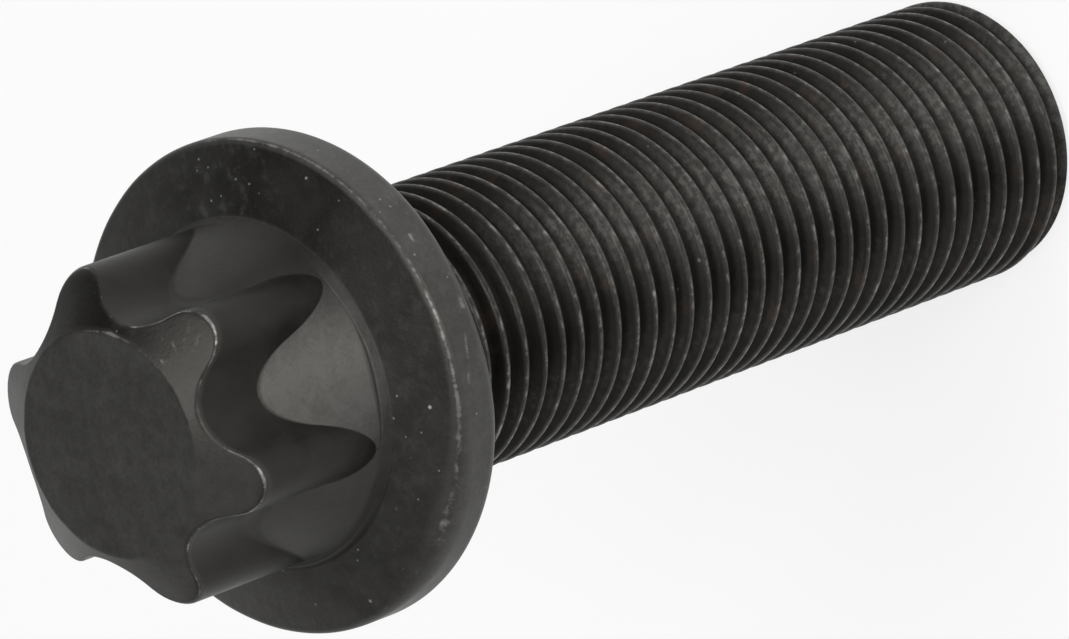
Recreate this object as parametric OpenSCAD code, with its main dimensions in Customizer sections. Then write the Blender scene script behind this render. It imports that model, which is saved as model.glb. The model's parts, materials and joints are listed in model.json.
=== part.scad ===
// Flange screw with an external six-lobe drive, forged in one piece with a fine rolled thread.
// It rolls on its side, so it stands on the end of its shank, head up, with its axis along Z.
// The shank is plain at the thread's major diameter.

/* [Shank] */
// Major diameter of the thread
thread_d = 16; // [10:0.5:20]
// Length from the bearing face to the tip
shank_l = 55; // [30:1:120]
// Size of the 45 degree chamfer at the tip
tip_chamfer = 0.9; // [0.5:0.1:2]
// Radius of the fillet between the shank and the bearing face
neck_fillet = 0.6; // [0.3:0.1:1.2]

/* [Flange] */
// Outer diameter of the flange
flange_d = 26.8; // [25:0.1:34]
// Height of the rim, from the bearing face to the flange's sloping top
rim_h = 3.1; // [2:0.1:5]
// Radius of the rounded upper edge of the rim
rim_round = 0.8; // [0.3:0.1:1]
// Radius of the rounded lower edge of the rim, round the bearing face
rim_back_round = 0.8; // [0.3:0.1:1]
// Slope of the flange's top, in degrees
flange_slope = 15; // [5:1:25]

/* [Drive] */
// Diameter over the tips of the six lobes
lobe_d = 18.3; // [15:0.1:21]
// Depth of the valleys between the lobes
lobe_depth = 2.5; // [2:0.05:3.2]
// Radius of a lobe's rounded tip
lobe_tip_r = 1.75; // [1.2:0.05:2.2]
// Height of the drive, from its foot to the end face
drive_h = 10.6; // [9:0.1:16]
// Step from the valleys in to the edge of the round end face
end_face_step = 0.6; // [0.2:0.05:1.5]
// Slope of the chamfer on the ends of the lobes, in degrees
end_slope = 32; // [15:1:45]
// Angle between the screw's axis and the cone where the valleys run out, in degrees
runout_angle = 23.5; // [20:0.5:45]
// Width of the lip round the foot of the drive
lip_w = 0.3; // [0.1:0.05:0.8]
// Height of that lip
lip_h = 0.55; // [0.2:0.05:1]

/* [Hidden] */
$fn = 96;

lobe_count = 6;
lobe_angle = 360 / lobe_count;
half_angle = lobe_angle / 2;
// Straight steps in each arc of an outline
tip_steps = 8;
valley_steps = 10;
round_steps = 5;
// How far the run-out cone's foot stands out past the lobes' tips
foot_step = 0.06;
// How far shapes that are joined reach into each other
joint_depth = 1;

// Radii from the screw's axis
thread_r = thread_d / 2;
flange_r = flange_d / 2;
lobe_r = lobe_d / 2;
valley_r = lobe_r - lobe_depth;
end_face_r = valley_r - end_face_step;
foot_r = lobe_r + foot_step;
lip_r = lobe_r + lip_w;
core_r = valley_r - joint_depth * tan(runout_angle);

// Heights above the ground
bearing_z = shank_l;
rim_z = bearing_z + rim_h;
lip_z = rim_z + (flange_r - lip_r) * tan(flange_slope);
foot_z = lip_z + lip_h;
end_z = foot_z + drive_h;
core_z = foot_z + (foot_r - core_r) / tan(runout_angle);

// Six-lobe outline: each lobe's tip arc is tangent to the valley arcs on both sides of it
tip_c = lobe_r - lobe_tip_r;
valley_arc_r =
    (tip_c * tip_c + valley_r * valley_r - 2 * tip_c * valley_r * cos(half_angle) - lobe_tip_r * lobe_tip_r)
    / (2 * (lobe_tip_r + tip_c * cos(half_angle) - valley_r));
tip_centre = [tip_c, 0];
valley_centre = (valley_r + valley_arc_r) * [cos(half_angle), sin(half_angle)];
tip_arc_end = atan2(valley_centre[1], valley_centre[0] - tip_c);

// Points on an arc about a centre, between two angles
function arc(centre, r, from, to, steps) = [
    for (i = [0 : steps])
        let (a = from + (to - from) * i / steps)
            centre + r * [cos(a), sin(a)]
];

// A point turned about the origin
function turned(p, a) = [p[0] * cos(a) - p[1] * sin(a), p[0] * sin(a) + p[1] * cos(a)];

// One sixth of the outline: a lobe's tip, and the valley that follows it without the points they share
function lobe_and_valley() = let (
    tip = arc(tip_centre, lobe_tip_r, -tip_arc_end, tip_arc_end, tip_steps),
    valley = arc(valley_centre, valley_arc_r, 180 + tip_arc_end, 180 + lobe_angle - tip_arc_end, valley_steps)
) concat(tip, [for (i = [1 : valley_steps - 1]) valley[i]]);

// Rounded edge between the upright rim and the flange's sloping top
function rim_edge() = let (
    turn = 90 - flange_slope,
    drop = rim_round * tan(turn / 2)
) arc([flange_r - rim_round, rim_z - drop], rim_round, 0, turn, round_steps);

// Half section of the shank, the flange and the cone on which the valleys run out
function turned_section() = concat(
    [
        [0, 0],
        [thread_r - tip_chamfer, 0],
        [thread_r, tip_chamfer]
    ],
    arc([thread_r + neck_fillet, bearing_z - neck_fillet], neck_fillet, 180, 90, round_steps),
    arc([flange_r - rim_back_round, bearing_z + rim_back_round], rim_back_round, -90, 0, round_steps),
    rim_edge(),
    [
        [lip_r, lip_z],
        [foot_r, foot_z],
        [core_r, core_z],
        [0, core_z]
    ]
);

// Prism of six lobes, from inside the flange up to the end face
module lobes() {
    translate([0, 0, foot_z - joint_depth])
        linear_extrude(drive_h + joint_depth)
            polygon([
                for (k = [0 : lobe_count - 1])
                    for (p = lobe_and_valley())
                        turned(p, k * lobe_angle)
            ]);
}

// Cone that cuts the ends of the lobes back to the round end face
module end_cone() {
    rotate_extrude()
        polygon([
            [0, bearing_z],
            [flange_r, bearing_z],
            [flange_r, end_z - (flange_r - end_face_r) * tan(end_slope)],
            [end_face_r, end_z],
            [0, end_z]
        ]);
}

// The whole screw, standing on its tip
module screw() {
    color([0.17, 0.17, 0.175])
        union() {
            rotate_extrude()
                polygon(turned_section());
            intersection() {
                lobes();
                end_cone();
            }
        }
}

screw();
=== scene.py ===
"""A black flange screw with an external six-lobe drive and a fine rolled thread, standing on its tip.

The screw is one closed mesh made of surfaces that share their border rings: the head, turned round the
axis with a profile that follows the six lobes; a flat ring under the flange; the neck; the thread, one
helical strip; and the flat tip. Lengths in the classes of the screw are millimetres, and MM turns them into
metres in the mesh. Places round the axis are settings in degrees, with the tip of a lobe at 0.
"""

import json
import logging
import math
from dataclasses import dataclass, field
from enum import Enum

import bmesh
import bpy
import numpy as np
from mathutils import Matrix, Vector


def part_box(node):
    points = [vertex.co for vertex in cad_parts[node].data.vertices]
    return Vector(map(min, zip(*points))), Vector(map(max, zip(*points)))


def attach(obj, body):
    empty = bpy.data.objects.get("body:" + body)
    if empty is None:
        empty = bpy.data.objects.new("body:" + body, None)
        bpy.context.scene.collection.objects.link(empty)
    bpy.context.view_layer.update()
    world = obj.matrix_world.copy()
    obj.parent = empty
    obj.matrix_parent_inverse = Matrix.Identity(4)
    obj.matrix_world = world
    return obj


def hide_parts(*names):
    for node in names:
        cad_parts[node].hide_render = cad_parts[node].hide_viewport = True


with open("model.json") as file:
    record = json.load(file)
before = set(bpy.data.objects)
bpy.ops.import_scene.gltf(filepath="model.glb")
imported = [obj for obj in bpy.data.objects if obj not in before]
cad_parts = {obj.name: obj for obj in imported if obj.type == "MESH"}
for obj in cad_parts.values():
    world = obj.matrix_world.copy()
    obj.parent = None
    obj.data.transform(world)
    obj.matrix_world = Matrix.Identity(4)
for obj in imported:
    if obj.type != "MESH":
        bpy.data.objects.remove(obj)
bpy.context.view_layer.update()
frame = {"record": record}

LOG = logging.getLogger("flange_screw")
MM = 0.001
FULL_TURN = 2.0 * math.pi
TURN_DEGREES = 360.0

# Most of a profile's straight side that the arc at one of its ends may take
LONGEST_REACH = 0.45
# Least and greatest weight of a ripple's waves, and the factor that brings their sum to about 1
WAVE_WEIGHTS = (0.4, 1.0)
WAVE_GAIN = 2.0

Colour = tuple[float, float, float]
Point = tuple[float, float, float]
Amount = np.ndarray | float
Socket = bpy.types.NodeSocket
Setting = Socket | Colour | float


class Mark(Enum):
    """Point attributes of the mesh that the finish reads."""

    WORN = "worn_edge"
    # Grey from real rubbing, raised where painted light falls and lowered where painted shade falls
    RUBBED_AND_LIT = "rubbed"
    # Painted shade: darkening where shade falls, in grooves, creases, under the flange and on shaded sides
    PAINTED_SHADE = "sheltered"
    DUSTY = "dusty"
    STAINED = "stained"


class ThreadHand(Enum):
    """Which way the thread climbs as it turns."""

    RIGHT = 1
    LEFT = -1


@dataclass(frozen=True)
class Patch:
    """A soft patch round the axis.

    Attributes:
        middle: Its middle angle in degrees.
        width: Its width in degrees.
        amount: Its value at the middle.
    """

    middle: float
    width: float
    amount: float = 1.0

    def at(self, angle: np.ndarray) -> np.ndarray:
        """The amount times the exponential of minus the squared distance from the middle, in widths."""
        apart = (np.degrees(angle) - self.middle + TURN_DEGREES / 2.0) % TURN_DEGREES - TURN_DEGREES / 2.0
        return self.amount * np.exp(-((apart / self.width) ** 2))


@dataclass(frozen=True)
class Spread:
    """A value that varies round the axis: a base with soft patches added to it."""

    base: float
    patches: tuple[Patch, ...]

    def at(self, angle: np.ndarray) -> np.ndarray:
        """The base plus the sum of the patches at each angle."""
        return self.base + sum(patch.at(angle) for patch in self.patches)


@dataclass(frozen=True)
class Ripple:
    """Small unevenness round the axis.

    Attributes:
        seed: Number that fixes the waves' phases and weights.
        slowest: Fewest periods to a turn.
        fastest: Most periods to a turn.
        amount: About how far it goes either way.
    """

    seed: int
    slowest: int
    fastest: int
    amount: float

    def at(self, angle: np.ndarray) -> np.ndarray:
        """Sums sine waves with whole numbers of periods to a turn, with chance phases and weights.

        Args:
            angle: Angles round the axis.

        Returns:
            The unevenness at each angle.
        """
        chance = np.random.default_rng(self.seed)
        periods = np.arange(self.slowest, self.fastest + 1)[:, None]
        phases = chance.uniform(0.0, FULL_TURN, periods.shape)
        weights = chance.uniform(*WAVE_WEIGHTS, periods.shape) / np.sqrt(periods)
        waves = weights * np.sin(periods * angle[None, :] + phases)
        return self.amount * WAVE_GAIN * waves.sum(axis=0) / weights.sum()


@dataclass
class Surface:
    """One stretch of the screw before the stretches are joined.

    Attributes:
        points: Points in millimetres, one row for each.
        faces: Arrays of point numbers, one row for each face.
        marks: How strongly each point carries each mark, from 0 to about 1.
    """

    points: np.ndarray
    faces: list[np.ndarray]
    marks: dict[Mark, np.ndarray]


@dataclass
class Corner:
    """One corner of the head's profile, at every column round the axis.

    Attributes:
        radius: Distance from the axis.
        height: Height above the ground.
        rounding: Radius of the corner's arc.
        steps: Straight steps in that arc.
        supports: Where rows lie on the straight stretch after the corner, as shares of its length.
        worn: How far the corner is worn bright.
        worn_at: Where along the arc the wear is strongest, as a share of the arc.
        rubbed: How far the finish is greyed at the end of the arc, by rubbing and by painted light.
        rubbed_and_lit_from: How far it is greyed at the start of the arc, where that differs.
        sheltered: How far the corner is darkened by painted shade.
        after: Marks on the stretch after the corner.
        streak: How strongly a worn streak crosses that stretch.
        streak_at: Where the streak crosses, as a share of the stretch.
    """

    radius: Amount
    height: Amount
    rounding: Amount
    steps: int = 5
    supports: tuple[float, ...] = (0.08, 0.5, 0.92)
    worn: Amount = 0.0
    worn_at: float = 0.5
    rubbed: Amount = 0.0
    rubbed_and_lit_from: Amount | None = None
    sheltered: Amount = 0.0
    after: dict[Mark, Amount] = field(default_factory=dict)
    streak: Amount = 0.0
    streak_at: Amount = 0.5

    def place(self, columns: int) -> np.ndarray:
        """Gives the corner as radius and height at each column."""
        return np.stack([np.broadcast_to(self.radius, columns), np.broadcast_to(self.height, columns)])


@dataclass
class RowStack:
    """Rows of the head's surface in the order they are added, each with its marks.

    Attributes:
        columns: Points in a row.
        rows: Radius and height of each row's points.
        marks: Each row's values of every mark.
        edge_width: Width of the wear on an arc, as a share of the arc.
        streak_width: Width of a streak, as a share of the stretch that it crosses.
    """

    columns: int
    rows: list[np.ndarray] = field(default_factory=list)
    marks: dict[Mark, list[np.ndarray]] = field(default_factory=lambda: {mark: [] for mark in Mark})
    edge_width: float = 0.28
    streak_width: float = 0.14

    def add(self, row: np.ndarray, values: dict[Mark, Amount]) -> None:
        """Adds a row whose marks are 0 where no value is given.

        Args:
            row: Radius and height of its points.
            values: Its marks.
        """
        self.rows.append(row)
        for mark in Mark:
            self.marks[mark].append(np.broadcast_to(values.get(mark, 0.0), self.columns))

    def stretch(self, earlier: Corner, end: np.ndarray) -> None:
        """Adds the rows of the straight stretch between two corners, and the streak that crosses it.

        Args:
            earlier: The corner before the stretch, whose last row is the last one added.
            end: First row of the later corner's arc.
        """
        start = self.rows[-1]
        for share in earlier.supports:
            streak = earlier.streak * np.exp(-(((share - earlier.streak_at) / self.streak_width) ** 2))
            self.add(start * (1.0 - share) + end * share, {Mark.WORN: streak} | earlier.after)

    def arc(self, corner: Corner, rows: np.ndarray) -> None:
        """Adds the rows of a rounded corner.

        The wear falls off on both sides of its strongest place, and the grey goes evenly from the arc's start
        to its end.

        Args:
            corner: The corner.
            rows: Radius and height of the rows of its arc.
        """
        start = corner.rubbed if corner.rubbed_and_lit_from is None else corner.rubbed_and_lit_from
        for share, row in zip(np.linspace(0.0, 1.0, len(rows)), rows, strict=True):
            peak = math.exp(-(((share - corner.worn_at) / self.edge_width) ** 2))
            values = {
                Mark.WORN: corner.worn * peak,
                Mark.RUBBED_AND_LIT: start * (1.0 - share) + corner.rubbed * share,
                Mark.PAINTED_SHADE: corner.sheltered,
            }
            self.add(row, values)


def smooth_step(value: np.ndarray) -> np.ndarray:
    """Eases a value from 0 to 1 with a level start and end: 3v squared less 2v cubed."""
    share = np.clip(value, 0.0, 1.0)
    return share * share * (3.0 - 2.0 * share)


def soft_least(first: np.ndarray, second: np.ndarray, blend: float) -> np.ndarray:
    """The lesser of two values, with the crease between them rounded.

    Half of the sum, less half of the root of the squared difference plus the squared blend.

    Args:
        first: One array of values.
        second: The other.
        blend: Length over which the crease is rounded.

    Returns:
        The lesser values.
    """
    return 0.5 * (first + second - np.sqrt((first - second) ** 2 + blend * blend))


def rounded_corner(
    before: np.ndarray, corner: np.ndarray, after: np.ndarray, radius: Amount, steps: int
) -> np.ndarray:
    """Rounds one corner of many profiles at once.

    The arc touches both sides. It starts at radius / tan(half the corner's angle) from the corner, or at the
    longest reach on the shorter side if that is less, its centre lies on the bisector, and equal angles part
    its points.

    Args:
        before: The profiles' corners before this one, as two rows of numbers.
        corner: The corners to round.
        after: The corners after this one.
        radius: Radius of the arcs.
        steps: Straight steps in an arc.

    Returns:
        Points of the arcs, numbered by step, then by coordinate, then by profile.
    """
    back = before - corner
    ahead = after - corner
    back_length = np.hypot(back[0], back[1])
    ahead_length = np.hypot(ahead[0], ahead[1])
    back = back / back_length
    ahead = ahead / ahead_length
    half = 0.5 * np.arccos(np.clip((back * ahead).sum(axis=0), -1.0, 1.0))
    reach = np.minimum(radius / np.tan(half), LONGEST_REACH * np.minimum(back_length, ahead_length))
    bisector = (back + ahead) / (2.0 * np.cos(half))
    centre = corner + bisector * reach / np.cos(half)
    turn = math.pi - 2.0 * half
    share = np.linspace(0.0, 1.0, steps + 1)[:, None, None]
    to_start = (corner + back * reach - centre) * np.sin((1.0 - share) * turn) / np.sin(turn)
    to_end = (corner + ahead * reach - centre) * np.sin(share * turn) / np.sin(turn)
    return centre + to_start + to_end


def ring_points(radius: np.ndarray, height: np.ndarray, angle: np.ndarray) -> np.ndarray:
    """Turns radii and heights at angles round the axis into points."""
    return np.stack([radius * np.cos(angle), radius * np.sin(angle), height], axis=-1).reshape(-1, 3)


def column_angles(columns: int) -> np.ndarray:
    """Angles of evenly spaced columns round the axis."""
    return np.arange(columns) * FULL_TURN / columns


def grid_faces(rows: int, columns: int) -> np.ndarray:
    """Four-sided faces of a grid whose last column meets its first.

    Rows that run outwards, then down, then inwards give faces that look out of the screw.

    Args:
        rows: Rows of points.
        columns: Points in a row.

    Returns:
        Point numbers, one row for each face.
    """
    number = np.arange(rows * columns).reshape(rows, columns)
    beside = np.roll(number, -1, axis=1)
    return np.stack([number[:-1], number[1:], beside[1:], beside[:-1]], axis=-1).reshape(-1, 4)


def direction(heading: float, lift: float) -> Vector:
    """Unit direction at a heading, clockwise from +Y, and at an angle above the horizon."""
    level = math.cos(lift)
    return Vector((math.sin(heading) * level, math.cos(heading) * level, math.sin(lift)))


def bare_marks(count: int) -> dict[Mark, np.ndarray]:
    """Marks of 0 for a number of points."""
    return {mark: np.zeros(count) for mark in Mark}


@dataclass(frozen=True)
class HeadWearAndPaintedLight:
    """How far the head is worn bright, rubbed grey, dusty, lit by painted light and darkened by painted
    shade, from 0 to about 1.

    Values are listed from the end face over the drive and the flange to the rim's back edge. Names that end
    in at are places on an arc or across the rim, as shares, and those that end in from or sweep are degrees.
    """

    # End face and the sloping ends of the lobes, with painted shade near -18 degrees and lighter grey at 115
    # and 180 degrees as a painted reflection
    face_grey: float = 0.7
    face_edge: Spread = Spread(0.1, (Patch(-24.0, 20.0), Patch(-58.0, 15.0, 0.5)))
    end_grey: Spread = Spread(
        0.4,
        (
            Patch(-18.0, 26.0, -0.4),
            Patch(-58.0, 15.0, -0.08),
            Patch(180.0, 30.0, 0.3),
            Patch(115.0, 40.0, 0.5),
        ),
    )
    end_scuffs: Patch = Patch(-58.0, 15.0, 0.6)
    end_shade: Patch = Patch(-18.0, 26.0)
    end_dust: Patch = Patch(-28.0, 16.0)

    # Edge round the lobes, whose grey dips near -18 degrees as painted shade
    worn_lobes: Spread = Spread(
        0.0, (Patch(-58.0, 15.0), Patch(-122.0, 17.0), Patch(2.0, 9.0), Patch(165.0, 30.0, 0.6))
    )
    lobe_edge: float = 0.72
    worn_lobe_edge: float = 0.3
    lobe_edge_grey: Spread = Spread(0.3, (Patch(-18.0, 26.0, -0.3),))

    # Painted shade at the ends of the valleys, and the petals between them, darkened near -47 degrees by
    # painted shade
    valley_ends: Spread = Spread(
        0.1, (Patch(-63.0, 5.0, 0.5), Patch(-124.0, 6.0, 0.5), Patch(-176.0, 7.0, 0.5))
    )
    petal_grey: Spread = Spread(0.25, (Patch(-92.0, 26.0, 0.92), Patch(-47.0, 11.0, -0.28)))
    petal_shade: Patch = Patch(-47.0, 11.0, 0.3)

    # Foot of the drive, its lap and its lip, with the shares of the foot's shade that each takes
    shaded_foot: Patch = Patch(-155.0, 38.0)
    foot_shade: float = 0.5
    lap_edge: float = 0.1
    lap_shade: float = 0.55
    lip_wall_dim: float = 0.5
    lip_wall_shade: float = 0.75
    lip_shade: float = 0.3
    lip_grey: Spread = Spread(
        0.125, (Patch(-92.0, 26.0, 0.46), Patch(-47.0, 11.0, -0.14), Patch(-25.0, 30.0, 0.3))
    )

    # Top of the flange: grey, lower near -48 degrees as painted shade and higher towards 100 degrees as
    # painted light, and dust
    top_grey: Spread = Spread(0.34, (Patch(-48.0, 45.0, -0.34), Patch(100.0, 50.0, 0.95)))
    top_dust: Spread = Spread(0.25, (Patch(-10.0, 17.0), Patch(-95.0, 40.0, 0.3)))

    # Rim and its two edges, the front one greyed in part from its start
    rim_edge: Spread = Spread(
        0.78,
        (
            Patch(70.0, 60.0, -0.75),
            Patch(175.0, 35.0, -0.5),
            Patch(14.0, 14.0, -0.35),
            Patch(-24.0, 20.0, 0.2),
            Patch(-86.0, 15.0, 0.16),
        ),
    )
    rim_edge_at: float = 0.42
    rim_edge_grey: float = 0.8
    grey_edge: Patch = Patch(-45.0, 60.0)
    rim_grey: Spread = Spread(0.88, (Patch(-92.0, 28.0, -0.3), Patch(180.0, 35.0, -0.6)))
    rim_dust: Spread = Spread(0.2, (Patch(-60.0, 9.0, 0.8),))
    back_edge: Spread = Spread(0.4, (Patch(-86.0, 14.0, 0.2),))
    back_edge_at: float = 0.06

    # Streak that slants across the rim, and the scuffs past it
    streak: Spread = Spread(0.0, (Patch(-93.0, 17.0, 0.66), Patch(-98.0, 6.0, 0.12), Patch(-66.5, 3.0, 0.8)))
    streak_from: float = 251.0
    streak_sweep: float = 26.0
    streak_ripple: Ripple = Ripple(12, 8, 60, 0.05)
    scuffs_from: float = 286.0
    scuffs_at: float = 0.42

    def streak_path(self, angle: np.ndarray) -> np.ndarray:
        """Where the streak crosses the rim, as a share of the rim's height below its front edge.

        It leaves the front edge at one angle and reaches the back edge a sweep further on. Past it lie scuffs
        at one height.

        Args:
            angle: Angles round the axis, from 0 to a full turn.

        Returns:
            The share at each angle.
        """
        degrees = np.degrees(angle)
        slant = (degrees - self.streak_from) / self.streak_sweep + self.streak_ripple.at(angle)
        return np.where(degrees > self.scuffs_from, self.scuffs_at, slant)


@dataclass
class Head:
    """The six-lobe drive, the flange and its bearing face.

    Attributes:
        flange_r: Outer radius of the flange.
        bearing_z: Height of the bearing face.
        end_z: Height of the end face.
        wear: Wear, grey, dust, painted light and painted shade round the head.
    """

    flange_r: float
    bearing_z: float
    end_z: float
    wear: HeadWearAndPaintedLight = HeadWearAndPaintedLight()

    # Drive
    lobe_count: int = 6
    lobe_r: float = 9.15
    valley_r: float = 6.65
    lobe_tip_r: float = 1.75
    drive_h: float = 10.6
    end_face_r: float = 6.05
    end_slope: float = math.radians(32.0)
    face_ripple: Ripple = Ripple(8, 3, 30, 0.05)
    edge_round: float = 0.36
    face_edge_ripple: Ripple = Ripple(4, 3, 40, 0.5)
    knocked_round: Patch = Patch(-24.0, 20.0, 0.5)
    lobe_edge_ripple: Ripple = Ripple(3, 3, 40, 0.3)
    worn_lobe_round: float = 0.5
    runout_angle: float = math.radians(23.5)
    runout_curve: float = 0.78
    runout_round: Spread = Spread(
        0.3, (Patch(-41.0, 15.0, 3.0), Patch(-10.0, 12.0, 0.8), Patch(-150.0, 22.0, 3.0))
    )

    # Foot of the drive: a lap of metal that is widest in two places, and a lip
    foot_r: float = 9.2
    lapped: Spread = Spread(0.0, (Patch(-95.0, 26.0), Patch(100.0, 24.0, 0.6)))
    lap_w: float = 0.18
    lap_least: float = 0.012
    lap_drop: float = 0.024
    lap_ripple: Ripple = Ripple(6, 3, 28, 0.5)
    fine_round: float = 0.03
    lip_r: float = 9.45
    lip_round: float = 0.02
    soft_lip_round: float = 0.4

    # Flange: the roundings of the rim's edges vary as shares of their radii
    flange_slope: float = math.radians(15.0)
    rim_h: float = 3.1
    rim_round: float = 0.8
    rim_round_share: Spread = Spread(0.45, (Patch(-140.0, 30.0, 1.5),))
    rim_round_ripple: Ripple = Ripple(5, 3, 30, 0.1)
    rim_back_round: float = 0.8
    back_round_share: Spread = Spread(1.0, (Patch(-85.0, 20.0, 0.45),))
    inner_ring_r: float = 8.9

    # Rows and columns of the grid
    columns: int = 240
    face_rows: tuple[float, ...] = (0.15, 0.4, 0.65, 0.85, 0.94)
    close_rows: tuple[float, ...] = (0.04, 0.25, 0.5, 0.75, 0.96)
    bearing_rows: tuple[float, ...] = (0.05, 0.5, 1.0)
    rim_row_count: int = 25
    rim_row_margin: float = 0.02
    fine_steps: int = 2
    lip_steps: int = 4
    runout_steps: int = 6
    rim_steps: int = 8

    @property
    def foot_z(self) -> float:
        """Height of the foot of the drive."""
        return self.end_z - self.drive_h

    @property
    def rim_z(self) -> float:
        """Height of the rim's front edge before it is rounded."""
        return self.bearing_z + self.rim_h

    def outline(self, angle: np.ndarray) -> np.ndarray:
        """Radius of the six-lobe outline.

        Each lobe's tip is an arc about a point on the lobe's middle line, and each valley is an arc that
        touches the two tips beside it. A ray from the axis meets the valley's arc out to the point of touch,
        and the tip's arc past it.

        Args:
            angle: Angles round the axis, with a lobe's tip at 0.

        Returns:
            The outline's radius at each angle.
        """
        half_period = math.pi / self.lobe_count
        tip_c = self.lobe_r - self.lobe_tip_r
        across = tip_c * tip_c + self.valley_r**2 - 2.0 * tip_c * self.valley_r * math.cos(half_period)
        valley_arc_r = (across - self.lobe_tip_r**2) / (
            2.0 * (self.lobe_tip_r + tip_c * math.cos(half_period) - self.valley_r)
        )
        valley_c = self.valley_r + valley_arc_r
        from_tip = np.abs((angle + half_period) % (2.0 * half_period) - half_period)
        from_valley = half_period - from_tip
        tip_centre = tip_c * np.array([math.cos(half_period), math.sin(half_period)])
        valley_centre = np.array([valley_c, 0.0])
        towards = tip_centre - valley_centre
        touch = valley_centre + valley_arc_r * towards / np.linalg.norm(towards)
        touch_angle = math.atan2(touch[1], touch[0])
        valley_root = np.maximum(valley_arc_r**2 - (valley_c * np.sin(from_valley)) ** 2, 0.0)
        tip_root = np.maximum(self.lobe_tip_r**2 - (tip_c * np.sin(from_tip)) ** 2, 0.0)
        valley = valley_c * np.cos(from_valley) - np.sqrt(valley_root)
        tip = tip_c * np.cos(from_tip) + np.sqrt(tip_root)
        return np.where(from_valley < touch_angle, valley, tip)

    def drive_corners(self, angle: np.ndarray) -> list[Corner]:
        """Corners of the drive: the end face's edge, the lobes' edge and the ends of the lobes' walls.

        The ends of the lobes slope down from the end face. A wall ends on the run-out, whose height above
        the foot is the share of the way in from the foot to the valleys, raised to a power, times the height
        of the run-out's cone at the valleys.

        Args:
            angle: Angles round the axis.

        Returns:
            The corners in order.
        """
        wear = self.wear
        lobe = self.outline(angle)
        face_r = self.end_face_r + self.face_ripple.at(angle)
        lobe_end_z = self.end_z - (lobe - self.end_face_r) * math.tan(self.end_slope)
        runout_w = self.foot_r - self.valley_r
        runout_share = ((self.foot_r - lobe) / runout_w) ** self.runout_curve
        runout_z = self.foot_z + runout_share * runout_w / math.tan(self.runout_angle)
        worn_lobes = np.minimum(1.0, wear.worn_lobes.at(angle))
        face_round = self.edge_round * (1.0 + self.face_edge_ripple.at(angle)) + self.knocked_round.at(angle)
        lobe_uneven = self.lobe_edge_ripple.at(angle) + self.worn_lobe_round * worn_lobes
        end_grey = wear.end_grey.at(angle)
        end_marks = {
            Mark.RUBBED_AND_LIT: end_grey,
            Mark.WORN: wear.end_scuffs.at(angle),
            Mark.PAINTED_SHADE: wear.end_shade.at(angle),
            Mark.DUSTY: wear.end_dust.at(angle),
        }
        petal_marks = {Mark.RUBBED_AND_LIT: wear.petal_grey.at(angle), Mark.PAINTED_SHADE: wear.petal_shade.at(angle)}
        return [
            Corner(
                face_r,
                self.end_z,
                face_round,
                worn=wear.face_edge.at(angle),
                rubbed=end_grey,
                rubbed_and_lit_from=wear.face_grey,
                after=end_marks,
            ),
            Corner(
                lobe,
                lobe_end_z,
                self.edge_round * (1.0 + lobe_uneven),
                supports=self.close_rows,
                worn=wear.lobe_edge + wear.worn_lobe_edge * worn_lobes,
                rubbed=wear.lobe_edge_grey.at(angle),
            ),
            Corner(
                lobe,
                runout_z,
                self.runout_round.at(angle),
                steps=self.runout_steps,
                supports=self.close_rows,
                # Painted shade at the ends of the valleys
                sheltered=wear.valley_ends.at(angle),
                after=petal_marks,
            ),
        ]

    def foot_corners(self, angle: np.ndarray) -> list[Corner]:
        """Corners of the foot: its own edge, the edge of the lap beside it and the bottom of the lip's wall.

        Where there is no lap, its edge lies almost in line with the lip's wall.

        Args:
            angle: Angles round the axis.

        Returns:
            The corners in order.
        """
        wear = self.wear
        lapped = self.lapped.at(angle)
        lap = self.lap_least + self.lap_w * lapped * (1.0 + self.lap_ripple.at(angle))
        lip_z = self.rim_z + (self.flange_r - self.lip_r) * math.tan(self.flange_slope)
        shaded = wear.shaded_foot.at(angle)
        petal_grey = wear.petal_grey.at(angle)
        wall_marks = {
            Mark.RUBBED_AND_LIT: petal_grey * (1.0 - wear.lip_wall_dim * shaded),
            Mark.PAINTED_SHADE: wear.lip_wall_shade * shaded,
        }
        top_marks = {Mark.RUBBED_AND_LIT: wear.top_grey.at(angle), Mark.DUSTY: wear.top_dust.at(angle)}
        return [
            Corner(
                self.foot_r,
                self.foot_z,
                self.fine_round,
                steps=self.fine_steps,
                supports=(),
                rubbed=petal_grey,
                sheltered=np.maximum(lapped, wear.foot_shade * shaded),
            ),
            Corner(
                self.foot_r + lap,
                self.foot_z - self.lap_drop,
                self.fine_round,
                steps=self.fine_steps,
                worn=wear.lap_edge * (1.0 - shaded),
                rubbed=petal_grey,
                sheltered=wear.lap_shade * shaded,
                after=wall_marks,
            ),
            Corner(
                self.lip_r,
                lip_z,
                self.lip_round + self.soft_lip_round * shaded,
                steps=self.lip_steps,
                supports=self.close_rows,
                rubbed=wear.lip_grey.at(angle),
                sheltered=wear.lip_shade * shaded,
                after=top_marks,
            ),
        ]

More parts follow.
